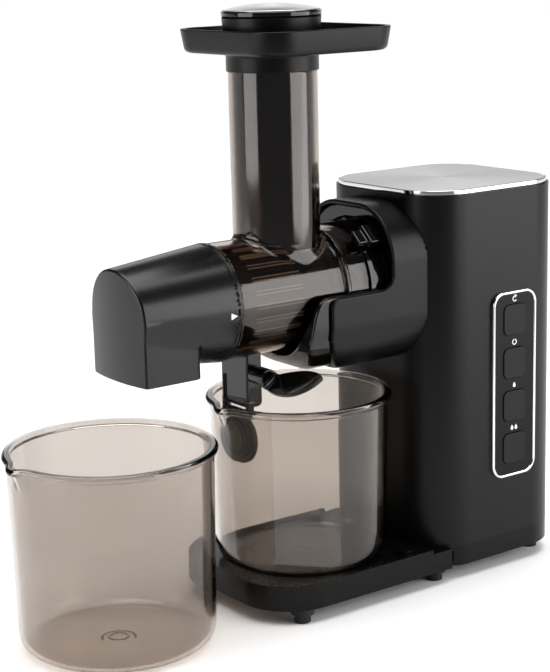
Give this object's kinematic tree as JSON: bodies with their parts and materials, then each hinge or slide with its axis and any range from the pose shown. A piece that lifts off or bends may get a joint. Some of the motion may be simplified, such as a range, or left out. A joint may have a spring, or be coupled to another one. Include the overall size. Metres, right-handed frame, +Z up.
{
  "type": "slow juicer",
  "caption": "Horizontal slow juicer with an upright motor column, a clear auger drum with a feed tray, a juice cup under the spout and a pulp cup in front.",
  "frame": {"origin": "on the table plane under the middle rubber foot, in the object's middle plane, straight below the front edge of the nose's cut-out", "axes": "+Z up, -Y from the motor column along the drum towards the pulp cup, +X to the side with the control panel"},
  "size_m": [0.1487, 0.3764, 0.3615],
  "materials": {
    "black_abs": "fine spark-eroded texture",
    "grey_abs": "fine satin texture",
    "gloss_black": "polished",
    "clear_smoke": "polished, smoke-brown clear copolyester",
    "cup_clear": "polished, light smoke clear copolyester",
    "key_plastic": "satin",
    "brushed_steel": "radially brushed",
    "chrome": "bright plated",
    "steel": "zinc plated",
    "rubber": "matte",
    "silicone": "satin silicone",
    "seal_rubber": "satin silicone",
    "casting": "as cast",
    "gear_nylon": "moulded nylon",
    "brass": "machined",
    "copper": "enamelled copper and steel laminations",
    "magnet": "sintered ferrite",
    "board": "printed board",
    "auger_plastic": "moulded polyetherimide",
    "mesh_steel": "etched sieve",
    "white_nylon": "moulded nylon"
  },
  "bodies": {
    "motor_unit": {"base_tray": "black_abs", "bottom_cover": "black_abs", "rubber_feet": "rubber", "base_screws": "steel", "column_housing": "black_abs", "top_trim": "chrome", "top_plate": "brushed_steel", "panel_bezel": "chrome", "panel_face": "key_plastic", "switch_board": "board", "control_board": "board", "cord_gland": "rubber", "nose_shell": "grey_abs", "nose_liner": "gloss_black", "catch_spring": "steel", "safety_switch": "key_plastic", "gearbox_case": "casting", "gearbox_cover": "casting", "gearbox_screws": "steel", "front_bearing": "steel", "rear_bearing": "steel", "shaft_seal": "rubber", "idler_pin": "steel", "motor_can": "steel", "motor_front_bell": "steel", "motor_magnets": "magnet", "motor_bearings": "steel", "brush_holders": "brass", "drum": "clear_smoke", "drum_ring": "gloss_black", "drum_seal": "seal_rubber", "strainer_frame": "auger_plastic", "strainer_mesh": "mesh_steel", "juice_spout": "gloss_black", "stopper_pin": "steel"},
    "rotor": {"rotor_core": "copper", "rotor_shaft": "steel", "motor_pinion": "brass", "commutator": "copper", "cooling_fan": "white_nylon"},
    "idler": {"idler_gear": "gear_nylon"},
    "output": {"output_shaft": "steel", "output_gear": "gear_nylon"},
    "auger": {"auger": "auger_plastic"},
    "cap": {"end_cap": "grey_abs", "pulp_valve": "seal_rubber"},
    "tray": {"feed_tray": "black_abs"},
    "pusher": {"pusher": "black_abs", "pusher_band": "gloss_black", "pusher_disc": "brushed_steel"},
    "juice_cup": {"juice_cup": "cup_clear"},
    "pulp_cup": {"pulp_cup": "cup_clear"},
    "key_reverse": {"button_reverse": "key_plastic"},
    "key_off": {"button_off": "key_plastic"},
    "key_soft": {"button_soft": "key_plastic"},
    "key_hard": {"button_hard": "key_plastic"},
    "catch": {"release_catch": "gloss_black"},
    "tap": {"tap_lever": "gloss_black"},
    "stopper": {"drip_stopper": "silicone"}
  },
  "joints": [
    {"name": "rotor_spin", "type": "hinge", "parent": "motor_unit", "child": "rotor", "pos_m": [0, 0.09, 0.191], "axis": [0, 1, 0], "continuous": true},
    {"name": "idler_spin", "type": "hinge", "parent": "motor_unit", "child": "idler", "pos_m": [0, 0.045, 0.155], "axis": [0, 1, 0], "continuous": true},
    {"name": "output_spin", "type": "hinge", "parent": "motor_unit", "child": "output", "pos_m": [0, 0.02, 0.191], "axis": [0, 1, 0], "continuous": true},
    {"name": "auger_spin", "type": "hinge", "parent": "motor_unit", "child": "auger", "pos_m": [0, -0.05, 0.191], "axis": [0, 1, 0], "continuous": true},
    {"name": "end_cap_twist", "type": "hinge", "parent": "motor_unit", "child": "cap", "pos_m": [0, -0.11, 0.191], "axis": [0, 1, 0], "range_deg": [-40, 0]},
    {"name": "feed_tray_lift", "type": "slide", "parent": "motor_unit", "child": "tray", "axis": [0, 0, 1], "range_m": [0, 0.03]},
    {"name": "pusher_lift", "type": "slide", "parent": "tray", "child": "pusher", "axis": [0, 0, 1], "range_m": [0, 0.16]},
    {"name": "juice_cup_lift", "type": "slide", "parent": "motor_unit", "child": "juice_cup", "axis": [0, 0, 1], "range_m": [0, 0.008]},
    {"name": "pulp_cup_slide", "type": "slide", "parent": "motor_unit", "child": "pulp_cup", "axis": [0, -1, 0], "range_m": [0, 0.12]},
    {"name": "release_catch_slide", "type": "slide", "parent": "motor_unit", "child": "catch", "axis": [0, 1, 0], "range_m": [0, 0.003], "stiffness_N_per_m": 400, "springref_m": -0.002, "deforming": ["catch_spring"]},
    {"name": "tap_turn", "type": "hinge", "parent": "motor_unit", "child": "tap", "pos_m": [0.02, -0.0815, 0.147], "axis": [1, 0, 0], "range_deg": [0, 90]},
    {"name": "stopper_swing", "type": "hinge", "parent": "motor_unit", "child": "stopper", "pos_m": [0, -0.0852, 0.1221], "axis": [1, 0, 0], "range_deg": [0, 90]},
    {"name": "reverse_press", "type": "slide", "parent": "motor_unit", "child": "key_reverse", "axis": [-1, 0, 0], "range_m": [0, 0.0012], "stiffness_N_per_m": 500, "springref_m": -0.002},
    {"name": "off_press", "type": "slide", "parent": "motor_unit", "child": "key_off", "axis": [-1, 0, 0], "range_m": [0, 0.0012], "stiffness_N_per_m": 500, "springref_m": -0.002},
    {"name": "soft_press", "type": "slide", "parent": "motor_unit", "child": "key_soft", "axis": [-1, 0, 0], "range_m": [0, 0.0012], "stiffness_N_per_m": 500, "springref_m": -0.002},
    {"name": "hard_press", "type": "slide", "parent": "motor_unit", "child": "key_hard", "axis": [-1, 0, 0], "range_m": [0, 0.0012], "stiffness_N_per_m": 500, "springref_m": -0.002}
  ],
  "couplings": [
    {"joint": "idler_spin", "follows": "rotor_spin", "ratio": -0.25},
    {"joint": "output_spin", "follows": "rotor_spin", "ratio": 0.083333},
    {"joint": "auger_spin", "follows": "rotor_spin", "ratio": 0.083333}
  ]
}
